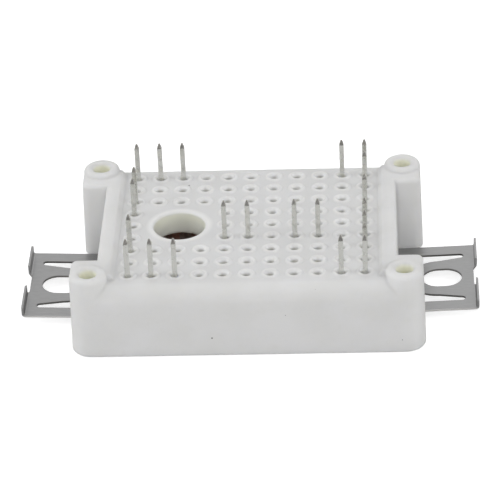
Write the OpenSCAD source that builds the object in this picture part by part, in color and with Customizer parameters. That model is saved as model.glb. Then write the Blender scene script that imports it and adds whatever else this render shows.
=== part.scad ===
// Press-on power module: moulded housing with a pin grid, solder pins, two screw clamps
// and a metallised ceramic substrate with potted chips.
// Millimetres, +Z up. The origin is the centre of the footprint on the heatsink plane.

/* [Housing] */
// Height of the screw domes above the heatsink
dome_top_z = 12; // [11.8:0.1:16]
// Height of the lid above the heatsink
lid_z = 10.65; // [10.2:0.05:11]
// Height of the end walls and dome blocks above the heatsink
ridge_z = 11.5; // [11.2:0.05:11.6]
// Radius of the dome columns, and so of the housing's corners, at the base
column_r = 2.8; // [2.4:0.05:3]
// Draft of the outer walls, in degrees
draft = 1.3; // [0.5:0.1:2]
// Radius of the long top edges of the lid
lid_edge_r = 2.5; // [1:0.1:2.6]
// Radius of the small top edges of the end walls
top_edge_r = 0.5; // [0.2:0.05:0.6]
// Radius of the top edge of a dome
dome_edge_r = 0.65; // [0.3:0.05:0.8]
// Radius of the lower outer edge
base_edge_r = 0.4; // [0.1:0.05:0.6]
// Gap between the heatsink plane and the housing's underside
skirt_gap = 0.12; // [0.05:0.01:0.2]

/* [Lid] */
// Thickness of the lid
lid_t = 1.5; // [1:0.1:2.5]
// Pitch of the pin grid
pitch = 3.2; // [3:0.05:3.25]
// Diameter of a pin hole in the lid
pin_hole_d = 1.0; // [0.96:0.02:1.2]
// Diameter of the top of the collar round a pin hole
collar_d = 2.1; // [1.9:0.1:2.4]
// Height of the collar above the lid
collar_h = 0.14; // [0.05:0.01:0.25]
// Width of the collar's sloping skirt
collar_skirt = 0.25; // [0.1:0.05:0.3]
// Diameter of the funnel at the mouth of a pin hole
funnel_d = 1.6; // [1.4:0.1:1.8]
// Depth of the funnel
funnel_depth = 0.35; // [0.2:0.05:0.6]
// Diameter of the gel window
window_d = 7.1; // [6.5:0.1:7.3]
// Outer diameter of the window's tube and rim
window_rim_d = 8.3; // [8.1:0.1:8.5]
// Width of the chamfer at the window's mouth
window_chamfer = 0.3; // [0.1:0.05:0.35]
// Depth of the window's tube below the top of the lid
window_tube = 3.3; // [2.6:0.1:4.2]

/* [Domes and end recesses] */
// Spacing of the dome holes along X
dome_x = 42.5; // [42.3:0.1:44]
// Spacing of the dome holes along Y
dome_y = 28.1; // [28.1:0.1:30]
// Diameter of a dome hole
dome_hole_d = 2.3; // [1.8:0.1:2.5]
// Diameter of the chamfer at the mouth of a dome hole
dome_mouth_d = 3.0; // [2.7:0.1:3.2]
// Depth of a dome hole
dome_hole_depth = 8.5; // [5:0.5:10]
// Width of the recess for the screw head in each end, at its foot
recess_w = 19.0; // [17.5:0.1:19.4]
// Depth of the recess in from the end of the housing
recess_depth = 3.5; // [3.2:0.1:3.7]
// Radius of the upright corners of the recess, at their foot
recess_corner_r = 1.2; // [1.1:0.1:1.4]
// Thickness of the end wall between the recess and the lid
end_wall_t = 2.2; // [1.9:0.05:2.4]
// Run of the slope from the lid up to the end wall
ridge_run = 0.6; // [0.3:0.1:0.8]

/* [Pins] */
// Width of a square pin
pin_w = 0.64; // [0.5:0.01:0.66]
// Height of the pin tips above the heatsink
pin_top_z = 16.4; // [14:0.1:20]
// Length of the point of a pin
pin_point = 0.75; // [0.5:0.05:1.5]
// Width of the flat at the tip of a pin
pin_tip_w = 0.2; // [0.05:0.01:0.3]
// Outer diameter of a pin's sleeve
sleeve_d = 1.7; // [1.5:0.1:1.9]
// Height of a sleeve
sleeve_h = 2.2; // [1.5:0.1:3]
// Diameter of the flange at the foot of a sleeve
flange_d = 2.2; // [2:0.1:2.3]
// Thickness of the flange
flange_t = 0.25; // [0.15:0.05:0.4]

/* [Screw clamps] */
// Spacing of the two clamp screws along X
screw_spacing = 53; // [52.8:0.1:55]
// Width of a clamp
clamp_w = 16.3; // [15.5:0.1:17]
// Thickness of the clamp sheet
sheet_t = 0.3; // [0.25:0.05:0.4]
// Height of the clamp's underside above the heatsink, at the housing
clamp_z = 0.85; // [0.8:0.05:1]
// Slope at which an unscrewed clamp rises outwards, in degrees
clamp_rise = 2; // [0.5:0.1:3]
// Width of the screw slot
screw_slot_w = 4.5; // [4:0.1:4.6]
// Length of the screw slot, along X
screw_slot_l = 5.5; // [5:0.1:5.7]
// Width of the tongue's rim round the slot
tongue_rim = 2.05; // [1.7:0.05:2.1]
// Width of an arm beside the tongue
arm_w = 2.15; // [1.9:0.05:2.4]
// Width of the gap between an arm and the tongue at its outer end
gap_w = 1.05; // [0.8:0.05:1.15]
// Distance from the screw's centre to the outer end of the gap
gap_reach = 3.1; // [2.9:0.1:3.4]
// Distance from the screw's centre to the bend of the end lip
lip_reach = 4.4; // [4.1:0.05:4.6]
// Length of the straight part of the lip
lip_l = 1.1; // [0.6:0.1:2]
// Radius of the lip's outer corners
lip_corner_r = 0.4; // [0.1:0.05:0.5]
// Angle through which the lip is bent up, in degrees
lip_angle = 88; // [60:1:90]
// Inner radius of the lip's bend
lip_bend_r = 0.25; // [0.15:0.05:0.4]
// Width of the notch between the two halves of the lip
notch_w = 5.4; // [4:0.1:7]
// Radius of the corners of the notch
notch_r = 0.9; // [0.4:0.1:1.2]

/* [Substrate] */
// Distance from the outer pins to the ends of the ceramic plate
end_margin = 2.4; // [2.3:0.05:2.6]
// Distance from the outer pins to the long sides of the ceramic plate
side_margin = 2.2; // [2.1:0.05:2.4]
// Thickness of the ceramic plate
ceramic_t = 0.38; // [0.25:0.01:0.4]
// Thickness of the copper on each side of the ceramic
copper_t = 0.3; // [0.2:0.01:0.32]
// Border of the ceramic that the copper leaves bare
bare_border = 0.7; // [0.65:0.05:0.8]
// Ledge of the housing that rests on the edge of the ceramic
ledge_w = 0.6; // [0.4:0.05:0.6]
// Gap between neighbouring copper islands
island_gap = 0.6; // [0.4:0.05:0.7]
// Width of the copper pad under a control pin
pad_w = 2.6; // [2.4:0.1:2.6]

/* [Chips, wires and gel] */
// Edge length of a transistor chip
igbt_w = 3.4; // [2.8:0.1:3.6]
// Edge length of a diode chip
diode_w = 2.4; // [1.8:0.1:2.5]
// Thickness of the chips
chip_t = 0.2; // [0.1:0.01:0.3]
// Width of the thermistor, along X
thermistor_w = 1.6; // [1.2:0.1:2]
// Length of the thermistor, along Y
thermistor_l = 3.2; // [3:0.1:3.4]
// Height of the thermistor
thermistor_h = 0.9; // [0.6:0.1:1.2]
// Diameter of a bond wire
wire_d = 0.3; // [0.2:0.05:0.35]
// Height of a wire loop's centre line above the circuit copper
wire_rise = 1.6; // [1.4:0.1:2.2]
// Radius of the bends of a wire loop
wire_bend_r = 0.9; // [0.6:0.05:1]
// Height of the gel above the heatsink
gel_z = 5.2; // [4:0.1:5.8]

/* [Fits] */
// Clearance between the clamp arms and their pockets
pocket_clear = 0.05; // [0.02:0.01:0.08]
// Clearance round the edge of the ceramic plate
plate_clear = 0.05; // [0.02:0.01:0.1]
// Clearance between a pin's corners and the bore of its sleeve
sleeve_clear = 0.01; // [0.005:0.005:0.02]

/* [Hidden] */
$fn = 48;
OVERCUT = 0.5;

GRID_COLS = 11;
GRID_ROWS = 9;
COL_NAMES = "abcdefghijk";

// Pins by grid column and row, counted from the left and from the back.
PINS = [
    [0, 0], [1, 0], [2, 0], [9, 0], [10, 0], [10, 1], [0, 2], [0, 3], [10, 3],
    [4, 5], [5, 5], [7, 5], [8, 5], [10, 5], [0, 6], [10, 6], [10, 7],
    [0, 8], [1, 8], [2, 8], [9, 8], [10, 8]
];
// Two control pins stand on pads cut out of the supply islands.
SUPPLY_CUTS = [[0, 2], [0, 6]];
THERMISTOR_COL = 9;
LAST_COL = GRID_COLS - 1;

// Centre of the window in the grid; it takes the place of the nine positions around it.
WINDOW = [2, 4];

function grid_x(col) = (col - LAST_COL / 2) * pitch;
function grid_y(row) = ((GRID_ROWS - 1) / 2 - row) * pitch;
function at(col, row) = [grid_x(col), grid_y(row)];
function beside_window(col, row) = abs(col - WINDOW[0]) <= 1 && abs(row - WINDOW[1]) <= 1;
function pin_name(p) = str("pin_", COL_NAMES[p[0]], p[1] + 1);

// Centres of the chips, the three of the upper side first. They share the grid of the pins.
IGBTS = [at(1.3, 1.8), at(4, 1.8), at(6.6, 1.8), at(0.25, 3.95), at(4.2, 3.5), at(6.7, 3.5)];
DIODES = [at(2.45, 1.8), at(5.15, 1.8), at(7.7, 1.8), at(1.4, 4.8), at(5.4, 3.5), at(7.75, 3.5)];

// Half height of the band of phase islands, and the lines on which the wires land.
band_y = 1.5 * pitch;
landing_inset = 0.9;
phase_landing_y = band_y - landing_inset;
supply_landing_y = -band_y - landing_inset;
// Inner edge of the cuts in the supply islands round the two control pads.
supply_cut_x = grid_x(0) + pad_w / 2 + island_gap;
wire_offset = igbt_w / 4;
// Distance of a gate wire from the middle of its pad, clear of the sleeve's flange.
pad_corner = 0.4 * pad_w;

// Each wire is [x, y] of its foot on the chip and [x, y] of its foot on the copper.
function down_wire(x, y_from, y_to) = [x, y_from, x, y_to];
WIRES = concat(
    [for (k = [0 : 2], side = [-1, 1])
        down_wire(IGBTS[k][0] + side * wire_offset, IGBTS[k][1] - wire_offset, phase_landing_y)],
    [for (k = [0 : 2]) down_wire(DIODES[k][0], DIODES[k][1] - diode_w / 4, phase_landing_y)],
    [
        // Down from the lower side, between the pins
        down_wire(supply_cut_x + wire_d, IGBTS[3][1], supply_landing_y),
        down_wire(DIODES[3][0], DIODES[3][1], supply_landing_y),
        down_wire(grid_x(4.5), IGBTS[4][1], supply_landing_y),
        down_wire(grid_x(5.5), DIODES[4][1], supply_landing_y),
        down_wire(grid_x(6.3), IGBTS[5][1], supply_landing_y),
        down_wire(grid_x(6.5), IGBTS[5][1], supply_landing_y),
        down_wire(grid_x(7.5), DIODES[5][1], supply_landing_y),
        // Gate wires of the two transistors beside the control pads
        down_wire(grid_x(0) + pad_corner, IGBTS[3][1] - wire_offset, grid_y(6) + pad_corner),
        [IGBTS[0][0] - wire_offset, grid_y(2) + pad_corner, grid_x(0) + pad_corner, grid_y(2) + pad_corner]
    ]
);

slope = tan(draft);
column_x = dome_x / 2;
column_y = dome_y / 2;
wall_x = column_x + column_r;
wall_y = column_y + column_r;
recess_wall_x = wall_x - recess_depth;
ridge_x = recess_wall_x - end_wall_t;
slope_foot_x = ridge_x - ridge_run;
block_corner_x = wall_x - recess_corner_r;
block_corner_y = recess_w / 2 + recess_corner_r;

ceramic_l = LAST_COL * pitch + 2 * end_margin;
ceramic_w = (GRID_ROWS - 1) * pitch + 2 * side_margin;
plate_top_z = copper_t + ceramic_t;
circuit_z = plate_top_z + copper_t;
chip_z = circuit_z + chip_t;
ledge_l = ceramic_l - 2 * ledge_w;
cavity_w = ceramic_w - 2 * ledge_w;
copper_l = ceramic_l - 2 * bare_border;
copper_w = ceramic_w - 2 * bare_border;
sleeve_bore_d = pin_w * sqrt(2) + 2 * sleeve_clear;

clamp_top_z = clamp_z + sheet_t;
screw_x = screw_spacing / 2;
bend_x = screw_x + lip_reach;
arm_inner_y = clamp_w / 2 - arm_w;
arm_end_x = ceramic_l / 2 + ledge_w;
gap_end_x = screw_x + gap_reach - gap_w / 2;

// Distance of a drafted outer wall from its own axis at height z.
function wall_at(reach, z) = reach - slope * (z - skirt_gap);

// ---- profiles -------------------------------------------------------------------------

// Right half of a disc.
module half_disc(r) {
    intersection() {
        circle(r = r);
        translate([0, -r])
            square([r, 2 * r]);
    }
}

// Half section of a drafted wall with rounded top and bottom edges, from its axis outwards.
module flank(reach, top_z, edge_r) {
    top_c = [wall_at(reach, top_z - edge_r) - edge_r / cos(draft), top_z - edge_r];
    low_c = [wall_at(reach, skirt_gap + base_edge_r) - base_edge_r / cos(draft), skirt_gap + base_edge_r];
    tangent = [cos(draft), sin(draft)];
    polygon([
        [0, skirt_gap],
        [low_c[0], skirt_gap],
        low_c + base_edge_r * tangent,
        top_c + edge_r * tangent,
        [top_c[0], top_z],
        [0, top_z]
    ]);
    translate(top_c)
        half_disc(edge_r);
    translate(low_c)
        half_disc(base_edge_r);
}

// Extrude a profile drawn in X and height along Y, between two values of Y.
module along_y(y_from, y_to) {
    translate([0, y_to, 0])
        rotate([90, 0, 0])
            linear_extrude(y_to - y_from)
                children();
}

// Extrude a profile drawn in Y and height along X, between two values of X.
module along_x(x_from, x_to) {
    translate([x_from, 0, 0])
        rotate([90, 0, 90])
            linear_extrude(x_to - x_from)
                children();
}

module both_x() {
    children();
    mirror([1, 0, 0])
        children();
}

module both_y() {
    children();
    mirror([0, 1, 0])
        children();
}

module each_dome() {
    both_x()
        both_y()
            translate([column_x, column_y, 0])
                children();
}

module centred_box(l, w, z_from, z_to) {
    translate([-l / 2, -w / 2, z_from])
        cube([l, w, z_to - z_from]);
}

// ---- housing --------------------------------------------------------------------------

// Section through an end wall as far out as outer_x: the slope rises from the lid to the ridge.
module slope_section(outer_x) {
    polygon([
        [slope_foot_x, skirt_gap],
        [slope_foot_x, lid_z],
        [ridge_x, ridge_z],
        [outer_x, ridge_z],
        [outer_x, skirt_gap]
    ]);
}

// One end of the housing: the end wall, and a block on each side of the recess.
module end_block() {
    along_y(-block_corner_y, block_corner_y) {
        slope_section((ridge_x + recess_wall_x) / 2);
        translate([ridge_x, 0])
            flank(recess_wall_x - ridge_x, ridge_z, top_edge_r);
    }
    both_y() {
        along_y(block_corner_y, column_y) {
            slope_section(block_corner_x);
            translate([block_corner_x, 0])
                flank(recess_corner_r, ridge_z, top_edge_r);
        }
        translate([block_corner_x, block_corner_y, 0])
            rotate_extrude()
                flank(recess_corner_r, ridge_z, top_edge_r);
        translate([0, block_corner_y, 0])
            mirror([0, 1, 0])
                along_x(ridge_x, block_corner_x)
                    flank(recess_corner_r, ridge_z, top_edge_r);
    }
}

// The lid and the long walls, cut back behind the two end walls.
module lid_body() {
    difference() {
        along_x(-column_x, column_x)
            both_x()
                flank(wall_y, lid_z, lid_edge_r);
        both_x()
            translate([(slope_foot_x + ridge_x) / 2, -block_corner_y, -OVERCUT])
                cube([wall_x, 2 * block_corner_y, dome_top_z]);
    }
}

module dome_column() {
    rotate_extrude()
        flank(column_r, dome_top_z, dome_edge_r);
}

module pin_collar() {
    translate([0, 0, lid_z - OVERCUT])
        cylinder(d = collar_d, h = OVERCUT + collar_h);
    translate([0, 0, lid_z])
        cylinder(d1 = collar_d + 2 * collar_skirt, d2 = collar_d, h = collar_h);
}

module pin_hole() {
    mouth_z = lid_z + collar_h;
    translate([0, 0, lid_z - lid_t - OVERCUT])
        cylinder(d = pin_hole_d, h = lid_t + collar_h + 2 * OVERCUT);
    translate([0, 0, mouth_z - funnel_depth])
        cylinder(d1 = pin_hole_d, d2 = funnel_d, h = funnel_depth);
}

module each_hole() {
    for (col = [0 : LAST_COL], row = [0 : GRID_ROWS - 1])
        if (!beside_window(col, row))
            translate(at(col, row))
                children();
}

module window_body() {
    translate([0, 0, lid_z - window_tube])
        cylinder(d = window_rim_d, h = window_tube + collar_h);
}

module window_bore() {
    mouth_z = lid_z + collar_h;
    translate([0, 0, lid_z - window_tube - OVERCUT])
        cylinder(d = window_d, h = window_tube + collar_h + 2 * OVERCUT);
    translate([0, 0, mouth_z - window_chamfer])
        cylinder(d1 = window_d, d2 = window_d + 2 * window_chamfer, h = window_chamfer);
}

module dome_hole() {
    chamfer = (dome_mouth_d - dome_hole_d) / 2;
    translate([0, 0, dome_top_z - dome_hole_depth])
        cylinder(d = dome_hole_d, h = dome_hole_depth + OVERCUT);
    translate([0, 0, dome_top_z - chamfer])
        cylinder(d1 = dome_hole_d, d2 = dome_mouth_d, h = chamfer);
}

// Pocket in the end wall that takes one clamp arm.
module arm_pocket() {
    sprung()
        translate([arm_end_x, arm_inner_y - pocket_clear, clamp_z - pocket_clear])
            cube([recess_wall_x - arm_end_x + OVERCUT, arm_w + 2 * pocket_clear, sheet_t + 2 * pocket_clear]);
}

module housing() {
    color("whitesmoke")
        difference() {
            union() {
                lid_body();
                both_x()
                    end_block();
                each_dome()
                    dome_column();
                each_hole()
                    pin_collar();
            }
            difference() {
                centred_box(ledge_l, cavity_w, skirt_gap - OVERCUT, lid_z - lid_t);
                translate(at(WINDOW[0], WINDOW[1]))
                    window_body();
            }
            centred_box(ceramic_l + 2 * plate_clear, ceramic_w + 2 * plate_clear,
                skirt_gap - OVERCUT, plate_top_z);
            each_hole()
                pin_hole();
            translate(at(WINDOW[0], WINDOW[1]))
                window_bore();
            each_dome()
                dome_hole();
            both_x()
                both_y()
                    arm_pocket();
        }
}

// ---- screw clamps ---------------------------------------------------------------------

// Rectangle from x_from outwards with its two corners at x_to rounded, centred on Y.
module round_ended(x_from, x_to, w, r) {
    translate([x_from, -w / 2])
        square([x_to - r - x_from, w]);
    translate([x_from, -w / 2 + r])
        square([x_to - x_from, w - 2 * r]);
    for (s = [-1, 1])
        translate([x_to - r, s * (w / 2 - r)])
            circle(r = r);
}

module screw_slot() {
    half_run = (screw_slot_l - screw_slot_w) / 2;
    for (s = [-1, 1])
        translate([screw_x + s * half_run, 0])
            circle(d = screw_slot_w);
    translate([screw_x - half_run, -screw_slot_w / 2])
        square([2 * half_run, screw_slot_w]);
}

// The tongue is round at its free end and widens towards the outer end of the gaps.
module tongue() {
    end_x = screw_x - (screw_slot_l - screw_slot_w) / 2;
    end_r = screw_slot_w / 2 + tongue_rim;
    root_y = arm_inner_y - gap_w;
    translate([end_x, 0])
        circle(r = end_r);
    polygon([
        [end_x, -end_r],
        [gap_end_x, -root_y],
        [gap_end_x + OVERCUT, -root_y],
        [gap_end_x + OVERCUT, root_y],
        [gap_end_x, root_y],
        [end_x, end_r]
    ]);
}

// Turns what is drawn level at clamp_z so that it rises outwards from the housing.
module sprung() {
    translate([arm_end_x, 0, clamp_z])
        rotate([0, -clamp_rise, 0])
            translate([-arm_end_x, 0, -clamp_z])
                children();
}

// The opening between the arms, round the tongue.
module arm_gap() {
    difference() {
        union() {
            translate([arm_end_x, -arm_inner_y])
                square([gap_end_x - arm_end_x, 2 * arm_inner_y]);
            for (s = [-1, 1])
                translate([gap_end_x, s * (arm_inner_y - gap_w / 2)])
                    circle(d = gap_w);
        }
        tongue();
    }
}

// The lip is bent up along Y.
module lip() {
    translate([bend_x, 0, clamp_top_z + lip_bend_r])
        rotate([90, 90, 0]) {
            rotate_extrude(angle = lip_angle)
                translate([lip_bend_r, -clamp_w / 2])
                    square([sheet_t, clamp_w]);
            rotate([0, 0, lip_angle])
                translate([lip_bend_r, 0, 0])
                    rotate([90, 0, 90])
                        linear_extrude(sheet_t)
                            round_ended(0, lip_l, clamp_w, lip_corner_r);
        }
}

module notch() {
    past_lip_x = bend_x + lip_bend_r + sheet_t + lip_l;
    mirror([1, 0, 0])
        round_ended(-past_lip_x, -bend_x, notch_w, notch_r);
}

module clamp() {
    arm_x = arm_end_x + pocket_clear;
    color("darkgray")
        difference() {
            sprung() {
                translate([arm_x, -clamp_w / 2, clamp_z])
                    cube([bend_x - arm_x, clamp_w, sheet_t]);
                lip();
            }
            linear_extrude(pin_top_z) {
                arm_gap();
                screw_slot();
                notch();
            }
        }
}

module clamp_left() {
    mirror([1, 0, 0])
        clamp();
}

module clamp_right() {
    clamp();
}

// ---- substrate ------------------------------------------------------------------------

module base_copper() {
    color("peru")
        centred_box(copper_l, copper_w, 0, copper_t);
}

module ceramic_plate() {
    color("ivory")
        centred_box(ceramic_l, ceramic_w, copper_t, plate_top_z);
}

// Rectangle between two opposite corners.
module field(x0, y0, x1, y1) {
    translate([x0, y0])
        square([x1 - x0, y1 - y0]);
}

module pin_pad(p) {
    translate(at(p[0], p[1]))
        square(pad_w, center = true);
}

// Layout of the circuit: two supply islands, three phase islands, the thermistor's tracks
// and a pad for each control pin.
module circuit_outline() {
    half_gap = island_gap / 2;
    side_x = copper_l / 2;
    side_y = copper_w / 2;
    bus_x = grid_x(THERMISTOR_COL) - pad_w / 2 - island_gap;
    splits = [-side_x - half_gap, grid_x(3.5), grid_x(6), bus_x + half_gap];
    both_y()
        difference() {
            field(-side_x, band_y + half_gap, bus_x, side_y);
            field(-side_x - OVERCUT, 0, supply_cut_x,
                grid_y(SUPPLY_CUTS[0][1]) + pad_w / 2 + island_gap);
        }
    for (k = [0 : 2])
        field(splits[k] + half_gap, -band_y + half_gap, splits[k + 1] - half_gap, band_y - half_gap);
    both_y()
        field(grid_x(THERMISTOR_COL) - pad_w / 2, 1.5 * island_gap,
            grid_x(THERMISTOR_COL) + pad_w / 2, side_y);
    for (p = PINS)
        if (p[0] == LAST_COL || p == SUPPLY_CUTS[0] || p == SUPPLY_CUTS[1])
            pin_pad(p);
}

module circuit_copper() {
    color("chocolate")
        translate([0, 0, plate_top_z])
            linear_extrude(copper_t)
                circuit_outline();
}

// ---- chips and wires ------------------------------------------------------------------

module chip(centre, w) {
    translate(centre)
        centred_box(w, w, circuit_z, chip_z);
}

module igbt_chip(k) {
    color("slategray")
        chip(IGBTS[k], igbt_w);
}

module diode_chip(k) {
    color("lightslategray")
        chip(DIODES[k], diode_w);
}

module thermistor() {
    color("darkslategray")
        translate([grid_x(THERMISTOR_COL), 0, 0])
            centred_box(thermistor_w, thermistor_l, circuit_z, circuit_z + thermistor_h);
}

// Quarter bend of a wire, from pointing up to running along +X.
module wire_bend() {
    rotate([90, 0, 0])
        rotate_extrude(angle = 90)
            translate([wire_bend_r, 0])
                circle(d = wire_d);
}

// A wire loop: up from the chip, over, and down to the copper.
module bond_wire(wire) {
    run = norm([wire[2] - wire[0], wire[3] - wire[1]]);
    top_z = circuit_z + wire_rise;
    bend_z = top_z - wire_bend_r;
    translate([wire[0], wire[1], 0])
        rotate([0, 0, atan2(wire[3] - wire[1], wire[2] - wire[0])]) {
            translate([0, 0, chip_z])
                cylinder(d = wire_d, h = bend_z - chip_z);
            translate([wire_bend_r, 0, bend_z])
                mirror([1, 0, 0])
                    wire_bend();
            translate([wire_bend_r, 0, top_z])
                rotate([0, 90, 0])
                    cylinder(d = wire_d, h = run - 2 * wire_bend_r);
            translate([run - wire_bend_r, 0, bend_z])
                wire_bend();
            translate([run, 0, circuit_z])
                cylinder(d = wire_d, h = bend_z - circuit_z);
        }
}

module bond_wires() {
    color("silver")
        for (wire = WIRES)
            bond_wire(wire);
}

// ---- pins -----------------------------------------------------------------------------

module at_pin(p) {
    translate(at(p[0], p[1]))
        children();
}

module sleeve_body() {
    translate([0, 0, circuit_z]) {
        cylinder(d = sleeve_d, h = sleeve_h);
        cylinder(d = flange_d, h = flange_t);
    }
}

module pin_sleeves() {
    color("gainsboro")
        for (p = PINS)
            at_pin(p)
                difference() {
                    sleeve_body();
                    translate([0, 0, circuit_z - OVERCUT])
                        cylinder(d = sleeve_bore_d, h = sleeve_h + 2 * OVERCUT);
                }
}

// Side view of a pin, which is the same from the front and from the side.
module pin_side() {
    shoulder_z = pin_top_z - pin_point;
    polygon([
        [-pin_w / 2, circuit_z],
        [pin_w / 2, circuit_z],
        [pin_w / 2, shoulder_z],
        [pin_tip_w / 2, pin_top_z],
        [-pin_tip_w / 2, pin_top_z],
        [-pin_w / 2, shoulder_z]
    ]);
}

module pin(p) {
    color("lightgray")
        at_pin(p)
            intersection() {
                along_x(-pin_w, pin_w)
                    pin_side();
                along_y(-pin_w, pin_w)
                    pin_side();
            }
}

// ---- potting --------------------------------------------------------------------------

module silicone_gel() {
    color("lightcyan", 0.4)
        difference() {
            centred_box(ledge_l, cavity_w, plate_top_z, gel_z);
            circuit_copper();
            for (centre = IGBTS)
                chip(centre, igbt_w);
            for (centre = DIODES)
                chip(centre, diode_w);
            thermistor();
            bond_wires();
            for (p = PINS) {
                at_pin(p)
                    sleeve_body();
                pin(p);
            }
        }
}

// ---- parts ----------------------------------------------------------------------------

housing();
clamp_left();
clamp_right();
base_copper();
ceramic_plate();
circuit_copper();
for (k = [0 : len(IGBTS) - 1])
    igbt_chip(k);
for (k = [0 : len(DIODES) - 1])
    diode_chip(k);
thermistor();
bond_wires();
pin_sleeves();
silicone_gel();
for (p = PINS)
    pin(p);
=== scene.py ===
import math

import bpy
from mathutils import Matrix, Vector

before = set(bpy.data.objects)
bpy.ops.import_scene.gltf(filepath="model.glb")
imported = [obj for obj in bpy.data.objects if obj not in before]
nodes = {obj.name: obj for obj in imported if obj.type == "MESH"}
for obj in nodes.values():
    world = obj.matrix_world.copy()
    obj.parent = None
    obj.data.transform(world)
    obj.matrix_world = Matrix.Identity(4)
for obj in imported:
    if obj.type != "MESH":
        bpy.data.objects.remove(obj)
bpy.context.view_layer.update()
scene = bpy.context.scene

# Places on the object that the materials follow, in millimetres
PITCH = 3.2                     # of the grid of pin holes
GRID_END = (17.5, 14.3)         # half the grid's length and width, just past its collars
HOLE_R = 0.5                    # of a pin hole
RING_R = 1.0                    # of the smooth ring round it, which fades in the next 0.3
FUNNEL_Z = 10.44                # where the funnel of a pin hole begins
LID_Z = 10.65
WINDOW = (-9.6, 0.0)            # axis of the gel window
WINDOW_R = 3.6                  # just past its bore
DOME = (21.25, 14.05)           # axis of one dome; the others mirror it
DOME_Z = 11.9                   # just below its top
DOME_HOLE_R = 1.2               # just past its bore
# x, y, z and radius of the small dark specks
SPECKS = (
    (-4.8, -16.75, 3.0, 0.13), (-8.75, 10.8, 10.65, 0.12), (9.3, -15.9, 9.9, 0.05),
    (5.2, -16.7, 6.4, 0.06), (20.8, -16.8, 2.2, 0.07), (-13.2, 15.2, 10.4, 0.06),
)
SHOULDER_Z = 15.6               # just below the points of the pins
CLAMP_FLAT_Z = 1.45             # top of the clamps' flat part
CLAMP_EDGE_Y = 7.9              # just inside the clamps' long edges

# Most values of a noise lie between these two
SPREAD = (0.3, 0.7)

# The camera, fitted to the photo
LENS_MM = 225.9
EYE_MM = (19.703, -369.28, 234.756)
LOOK = (-0.0454, 0.8497, -0.5253)
ROLL_DEG = -2.673

# Light, in metres and watts
AMBIENT = 0.27
SOFTBOX_SIZE = 0.5
LAMP_TARGET = (0, 0, 0.005)
LAMPS = (
    ("softbox_left", (-0.65, 0.0, 0.35), 1.7),
    ("softbox_front", (0.0, -0.6, 0.45), 1.6),
    ("softbox_right", (0.6, -0.15, 0.4), 1.2),
    ("softbox_back", (0.0, 0.45, 0.75), 1.3),
)

FLOOR_SIZE = 6
FLOOR_Z = -0.00002              # just under the object's foot, so that the two planes don't fight
FLOOR_GLOW = 0.7
COVERED = (18.0, 13.0)          # half sides of the floor's part that the substrate hides, in mm

WHITE = (1, 1, 1, 1)


# ---- node helpers --------------------------------------------------------------------

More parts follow.
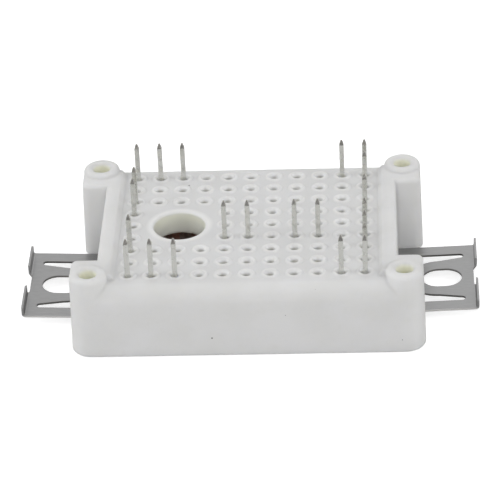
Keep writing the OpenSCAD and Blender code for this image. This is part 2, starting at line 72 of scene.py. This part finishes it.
class Tree:
    """A material's or world's node tree, with short ways to add nodes and link them."""

    def __init__(self, owner):
        owner.use_nodes = True
        self.t = owner.node_tree
        self.t.nodes.clear()

    def add(self, kind, inputs=None, **props):
        n = self.t.nodes.new(kind)
        for k, v in props.items():
            setattr(n, k, v)
        for k, v in (inputs or {}).items():
            self.put(n.inputs[k], v)
        return n

    def put(self, socket, v):
        if isinstance(v, bpy.types.NodeSocket):
            self.t.links.new(v, socket)
        else:
            socket.default_value = v

    def math(self, op, a, b=0.0):
        return self.add("ShaderNodeMath", {0: a, 1: b}, operation=op).outputs[0]

    def times(self, first, *others):
        for v in others:
            first = self.math("MULTIPLY", first, v)
        return first

    def remap(self, v, a0, a1, b0, b1):
        return self.add("ShaderNodeMapRange", {0: v, 1: a0, 2: a1, 3: b0, 4: b1}).outputs[0]

    def rise(self, v, a, b):
        """0 up to a, 1 from b on."""
        return self.remap(v, a, b, 0, 1)

    def fall(self, v, a, b):
        """1 up to a, 0 from b on."""
        return self.remap(v, a, b, 1, 0)

    def mix(self, fac, a, b):
        return self.add("ShaderNodeMix", {0: fac, 6: a, 7: b}, data_type="RGBA").outputs[2]

    def shaders(self, fac, a, b):
        return self.add("ShaderNodeMixShader", {0: fac, 1: a.outputs[0], 2: b.outputs[0]})

    def vector(self, op, a, b=(0, 0, 0), out=0):
        return self.add("ShaderNodeVectorMath", {0: a, 1: b}, operation=op).outputs[out]

    def xyz(self, co):
        return self.add("ShaderNodeSeparateXYZ", {0: co}).outputs

    def xy(self, x, y):
        return self.add("ShaderNodeCombineXYZ", {0: x, 1: y}).outputs[0]

    def mm(self, stretch=(1, 1, 1)):
        """Object coordinates in millimetres."""
        co = self.add("ShaderNodeTexCoord").outputs["Object"]
        return self.vector("MULTIPLY", co, [1000 * s for s in stretch])

    def noise(self, co, size, detail=2.0, rough=0.5):
        """Noise whose features are about size millimetres across."""
        return self.add("ShaderNodeTexNoise", {
            "Vector": co, "Scale": 1 / size, "Detail": detail, "Roughness": rough,
        }).outputs["Fac"]

    def mottle(self, noise, low, high):
        """A colour that wanders between two."""
        return self.mix(self.rise(noise, *SPREAD), low, high)

    def stain(self, colour, noise, start, full, strength, tint):
        """The colour, with tint where the noise is above start."""
        return self.mix(self.times(self.rise(noise, start, full), strength), colour, tint)

    def wander(self, noise, low, high):
        """A number that wanders between two."""
        return self.remap(noise, *SPREAD, low, high)

    def bump(self, height, depth_mm, edge_m=None):
        """Surface relief, over edges that look rounded by edge_m metres."""
        n = self.add("ShaderNodeBump", {"Height": height, "Distance": depth_mm / 1000})
        if edge_m is not None:
            soft = self.add("ShaderNodeBevel", {"Radius": edge_m}, samples=6)
            self.put(n.inputs["Normal"], soft.outputs[0])
        return n.outputs[0]

    def from_axis(self, co, centre):
        """Distance in the XY plane from the upright axis through centre."""
        x, y, _ = self.xyz(co)
        return self.vector("DISTANCE", self.xy(x, y), (*centre, 0), "Value")

    def absolute(self, co):
        return self.vector("ABSOLUTE", co)

    def bore(self, co, centre, r, top):
        """1 in the upright bore of radius r round centre, below its mouth at top, else 0."""
        inside = self.fall(self.from_axis(co, centre), r, r + 0.15)
        return self.times(inside, self.fall(self.xyz(co)[2], top - 0.5, top))

    def surface(self, **inputs):
        b = self.add("ShaderNodeBsdfPrincipled",
                     {k.replace("_", " "): v for k, v in inputs.items()})
        self.output("Material", b)

    def output(self, kind, shader):
        self.add("ShaderNodeOutput" + kind, {"Surface": shader.outputs[0]})


def srgb(*v):
    """A colour written as 0-255 screen values, one or three, as the linear colour that nodes take."""
    v = v * 3 if len(v) == 1 else v
    return [(c / 255 / 12.92 if c / 255 <= 0.04045 else ((c / 255 + 0.055) / 1.055) ** 2.4)
            for c in v] + [1.0]


def material(name):
    m = bpy.data.materials.new(name)
    return m, Tree(m)


def dress(names, mat):
    for n in names:
        o = nodes[n]
        o.data.materials.clear()
        o.data.materials.append(mat)


# ---- materials -----------------------------------------------------------------------

def lid_rings(t, co):
    """Masks of the rings round the pin holes and the window, painted lighter as a painted highlight,
    and of the holes' walls, painted darker as painted shade.
    """
    x, y, z = t.xyz(co)
    ax, ay, _ = t.xyz(t.absolute(co))
    # Distance from the nearest point of the grid
    cell = [t.math("PINGPONG", t.math("ABSOLUTE", v), PITCH / 2) for v in (x, y)]
    r = t.vector("LENGTH", t.xy(*cell), out="Value")
    # The window takes the place of 3 x 3 holes
    aside = t.math("ABSOLUTE", t.math("SUBTRACT", x, WINDOW[0]))
    beside = t.rise(t.math("MAXIMUM", aside, ay), 1.45 * PITCH, 1.5 * PITCH)
    grid = t.times(t.fall(ax, GRID_END[0], GRID_END[0] + 0.2),
                   t.fall(ay, GRID_END[1], GRID_END[1] + 0.2), beside)
    # Painted highlight: the rings round the holes and the window's rim are painted lighter
    ring = t.times(t.fall(r, RING_R, RING_R + 0.3), t.rise(r, HOLE_R, HOLE_R + 0.1), grid, 0.7)
    rim = t.fall(t.from_axis(co, WINDOW), 4.05, 4.7)
    ring_highlight = t.times(t.math("MAXIMUM", ring, rim), t.rise(z, FUNNEL_Z, FUNNEL_Z + 0.1))
    # Painted shade on the walls deep in the pin holes
    hole_wall_shade = t.times(t.fall(r, HOLE_R + 0.02, HOLE_R + 0.08), t.fall(z, 10.0, 10.4), grid,
                    t.rise(z, 9.2, 9.4))
    return ring_highlight, hole_wall_shade


def housing_plastic():
    m, t = material("housing_plastic")
    co = t.mm()
    mirrored = t.absolute(co)
    ax, ay, _ = t.xyz(mirrored)
    cloud = t.noise(co, 6.0, 3.0)
    grain = t.noise(co, 0.16, 3.0, 0.6)
    fine = t.noise(co, 0.9, 4.0, 0.6)
    colour = t.mix(t.rise(cloud, 0.35, 0.65), srgb(232, 232, 231), srgb(236))
    colour = t.stain(colour, fine, 0.55, 0.75, 0.25, srgb(226, 226, 224))
    # Painted shade: the lid is painted a little darker between the rings round its holes
    ring_highlight, hole_wall_shade = lid_rings(t, co)
    lid = t.times(t.fall(ax, 18.5, 19.2), t.fall(ay, 14.6, 15.4),
                  t.rise(t.xyz(co)[2], LID_Z - 0.15, LID_Z - 0.05))
    colour = t.mix(t.times(lid, 0.2), colour, srgb(220, 220, 221))
    # Painted highlight on the rings round the holes and the window
    colour = t.mix(ring_highlight, colour, srgb(248, 248, 246))
    # Painted shade: the pin holes' walls are painted darker
    colour = t.mix(t.times(hole_wall_shade, 0.6), colour, srgb(205, 204, 196))
    # Painted light: deep in the bores the plastic is painted a lighter olive, for the light that
    # comes through the translucent walls
    colour = t.mix(t.bore(mirrored, DOME, DOME_HOLE_R, DOME_Z), colour, srgb(246, 246, 231))
    colour = t.mix(t.bore(co, WINDOW, WINDOW_R, LID_Z + 0.05), colour, srgb(241, 242, 230))
    for *place, r in SPECKS:
        speck = t.remap(t.vector("DISTANCE", co, place, "Value"), r * 0.6, r * 1.25, 0.8, 0)
        colour = t.mix(speck, colour, srgb(72, 70, 66))
    # The fillets round the domes are wider than the other ones
    by_dome = t.times(t.fall(t.from_axis(mirrored, DOME), 4.2, 6.2),
                      t.remap(ay, 16.3, 16.8, 1.0, 0.4))
    edge = t.remap(by_dome, 0.0, 1.0, 0.00035, 0.0009)
    t.surface(Base_Color=colour, Roughness=t.wander(fine, 0.42, 0.55), Specular_IOR_Level=0.42,
              Subsurface_Weight=0.8, Subsurface_Radius=(1.0, 0.98, 0.92),
              Subsurface_Scale=0.0014, Normal=t.bump(grain, 0.006, edge))
    return m


def clamp_steel():
    m, t = material("clamp_steel")
    co = t.mm()
    x, y, z = t.xyz(co)
    rolled = t.noise(t.mm((0.25, 3.0, 3.0)), 0.35, 3.0, 0.6)
    patch = t.noise(co, 3.0, 3.0)
    # Painted light: the right clamp is painted a little lighter than the left one, for the different
    # light on the two sides
    right = t.rise(x, -20, 20)
    dull_and_side_light = t.mix(right, srgb(146), srgb(153))
    clean_and_side_light = t.mix(right, srgb(160), srgb(165))
    face = t.mottle(rolled, dull_and_side_light, clean_and_side_light)
    face = t.stain(face, patch, 0.5, 0.75, 0.3, dull_and_side_light)
    # The flat sheet's sheared edges are painted: bright on the outside, a painted reflection, and
    # dark in the slots, painted shade
    normal = t.xyz(t.add("ShaderNodeTexCoord").outputs["Normal"])
    sheared = t.times(t.fall(t.math("ABSOLUTE", normal[2]), 0.05, 0.3),
                      t.fall(z, CLAMP_FLAT_Z, CLAMP_FLAT_Z + 0.15))
    outer = t.rise(t.math("ABSOLUTE", y), CLAMP_EDGE_Y, CLAMP_EDGE_Y + 0.2)
    colour = t.mix(sheared, face, t.mix(outer, srgb(140, 139, 136), srgb(228, 227, 225)))
    t.surface(Base_Color=colour, Metallic=1.0, Roughness=t.wander(rolled, 0.28, 0.36),
              Normal=t.bump(rolled, 0.003, 0.00005))
    return m


def pin_tin():
    m, t = material("pin_tin")
    co = t.mm()
    drawn = t.noise(t.mm((4.0, 4.0, 0.4)), 0.4, 3.0, 0.6)
    patch = t.noise(co, 0.8, 3.0)
    colour = t.mottle(drawn, srgb(222, 222, 217), srgb(231, 231, 227))
    colour = t.stain(colour, patch, 0.5, 0.7, 0.25, srgb(208, 208, 202))
    # The points are painted darker: a painted reflection of the dark above them
    painted_dark_point = t.rise(t.xyz(co)[2], SHOULDER_Z, SHOULDER_Z + 0.2)
    colour = t.mix(painted_dark_point, colour, srgb(188, 186, 181))
    t.surface(Base_Color=colour, Metallic=1.0, Roughness=t.wander(patch, 0.2, 0.3),
              Normal=t.bump(drawn, 0.003, 0.00008))
    return m


def metal(name, low, high, rough, depth_mm, metallic=1.0, glow=0.0):
    m, t = material(name)
    co = t.mm()
    a = t.noise(co, 0.3, 4.0, 0.6)
    b = t.noise(co, 0.3 * 6, 3.0)
    colour = t.mottle(a, low, high)
    colour = t.stain(colour, b, 0.45, 0.7, 0.4, low)
    t.surface(Base_Color=colour, Metallic=metallic, Emission_Color=low, Emission_Strength=glow,
              Roughness=t.wander(a, rough - 0.05, rough + 0.07), Normal=t.bump(a, depth_mm))
    return m


def ceramic():
    m, t = material("ceramic")
    a = t.noise(t.mm(), 0.25, 4.0, 0.6)
    t.surface(Base_Color=t.mottle(a, srgb(222, 219, 210), srgb(232, 230, 223)),
              Roughness=t.wander(a, 0.4, 0.55), Subsurface_Weight=0.15,
              Subsurface_Radius=(0.4, 0.38, 0.33), Subsurface_Scale=0.0008,
              Normal=t.bump(a, 0.003))
    return m


def silicon():
    m, t = material("silicon")
    co = t.mm()
    a = t.noise(co, 0.3, 3.0)
    # The metallised top is split by fine lines
    lines = t.add("ShaderNodeTexWave", {"Vector": co, "Scale": 1.4, "Distortion": 0.0},
                  wave_type="BANDS", bands_direction="X").outputs["Fac"]
    colour = t.mix(t.rise(lines, 0.02, 0.08), srgb(70, 74, 80), srgb(176, 178, 182))
    colour = t.stain(colour, a, 0.4, 0.7, 0.3, srgb(140, 143, 150))
    t.surface(Base_Color=colour, Metallic=0.85, Roughness=t.wander(a, 0.25, 0.38),
              Normal=t.bump(a, 0.002))
    return m


def gel():
    m, t = material("gel")
    a = t.noise(t.mm(), 5.0, 2.0)
    t.surface(Base_Color=t.mottle(a, srgb(246, 244, 236), srgb(252, 250, 245)),
              Roughness=0.05, IOR=1.41, Alpha=0.18, Normal=t.bump(a, 0.05))
    return m


dress(["housing"], housing_plastic())
dress(["clamp_left", "clamp_right"], clamp_steel())
dress([n for n in nodes if n.startswith("pin_") and n != "pin_sleeves"], pin_tin())
dress(["base_copper"],
      metal("copper", srgb(150, 88, 66), srgb(184, 116, 88), 0.42, 0.004))
# Too little light reaches the circuit through the window, so it has a faint glow of its own
dress(["circuit_copper"],
      metal("circuit_copper", srgb(176, 108, 80), srgb(206, 134, 104), 0.5, 0.004,
            metallic=0.2, glow=0.035))
dress(["ceramic_plate", "thermistor"], ceramic())
dress([n for n in nodes if "_chip_" in n], silicon())
dress(["bond_wires"],
      metal("wire_aluminium", srgb(196, 197, 199), srgb(216, 217, 219), 0.3, 0.002))
dress(["pin_sleeves"],
      metal("sleeve_tin", srgb(176, 174, 168), srgb(196, 195, 190), 0.3, 0.003))
dress(["silicone_gel"], gel())


# ---- floor, background, light and camera ---------------------------------------------

def floor():
    """A pale floor that is clear from below and where the substrate hides it."""
    bpy.ops.mesh.primitive_plane_add(size=FLOOR_SIZE, location=(0, 0, FLOOR_Z))
    o = bpy.context.object
    o.name = "floor"
    m, t = material("floor")
    diffuse = t.add("ShaderNodeBsdfDiffuse", {"Color": srgb(228)})
    glow = t.add("ShaderNodeEmission", {"Color": WHITE, "Strength": FLOOR_GLOW})
    none = t.add("ShaderNodeEmission", {"Strength": 0.0})
    seen = t.shaders(t.add("ShaderNodeLightPath").outputs["Is Camera Ray"], none, glow)
    pale = t.add("ShaderNodeAddShader", {0: diffuse.outputs[0], 1: seen.outputs[0]})
    ax, ay, _ = t.xyz(t.absolute(t.mm()))
    covered = t.times(t.math("LESS_THAN", ax, COVERED[0]), t.math("LESS_THAN", ay, COVERED[1]))
    below = t.add("ShaderNodeNewGeometry").outputs["Backfacing"]
    clear = t.add("ShaderNodeBsdfTransparent")
    t.output("Material", t.shaders(t.math("MAXIMUM", below, covered), pale, clear))
    o.data.materials.append(m)


def background():
    """White to the camera, even light from all sides, and one dark card low in front for gloss."""
    world = bpy.data.worlds.new("studio")
    scene.world = world
    t = Tree(world)
    path = t.add("ShaderNodeLightPath").outputs
    _, way_y, way_z = t.xyz(t.add("ShaderNodeTexCoord").outputs["Generated"])
    low = t.fall(t.math("ABSOLUTE", t.math("SUBTRACT", way_z, 0.03)), 0.07, 0.15)
    card = t.times(low, t.fall(way_y, -0.97, -0.92))
    shine = t.mix(card, WHITE, (0.02, 0.02, 0.02, 1))
    even = t.add("ShaderNodeBackground", {"Color": WHITE, "Strength": AMBIENT})
    gloss = t.add("ShaderNodeBackground", {"Color": shine, "Strength": 1.0})
    white = t.add("ShaderNodeBackground", {"Color": WHITE, "Strength": 1.0})
    lit = t.shaders(path["Is Glossy Ray"], even, gloss)
    clear = t.math("MAXIMUM", path["Is Camera Ray"], path["Is Transmission Ray"])
    t.output("World", t.shaders(clear, lit, white))


def softbox(name, place, power):
    """A round lamp aimed at the object, which metal doesn't show."""
    light = bpy.data.lights.new(name, "AREA")
    light.shape = "DISK"
    light.size = SOFTBOX_SIZE
    light.energy = power
    o = bpy.data.objects.new(name, light)
    scene.collection.objects.link(o)
    o.location = place
    o.visible_glossy = False
    way = Vector(LAMP_TARGET) - Vector(place)
    o.rotation_euler = way.to_track_quat("-Z", "Y").to_euler()


def camera():
    cam = bpy.data.cameras.new("camera")
    cam.sensor_width = 36
    cam.lens = LENS_MM
    cam.clip_start = 0.01
    cam.clip_end = 50
    o = bpy.data.objects.new("camera", cam)
    scene.collection.objects.link(o)
    forward = Vector(LOOK).normalized()
    right = forward.cross(Vector((0, 0, 1))).normalized()
    up = right.cross(forward)
    roll = math.radians(ROLL_DEG)
    tilted_right = right * math.cos(roll) + up * math.sin(roll)
    tilted_up = up * math.cos(roll) - right * math.sin(roll)
    turn = Matrix((tilted_right, tilted_up, -forward)).transposed().to_4x4()
    o.matrix_world = Matrix.Translation(Vector(EYE_MM) / 1000) @ turn
    scene.camera = o


floor()
background()
for lamp in LAMPS:
    softbox(*lamp)
camera()
scene.view_settings.view_transform = "Standard"
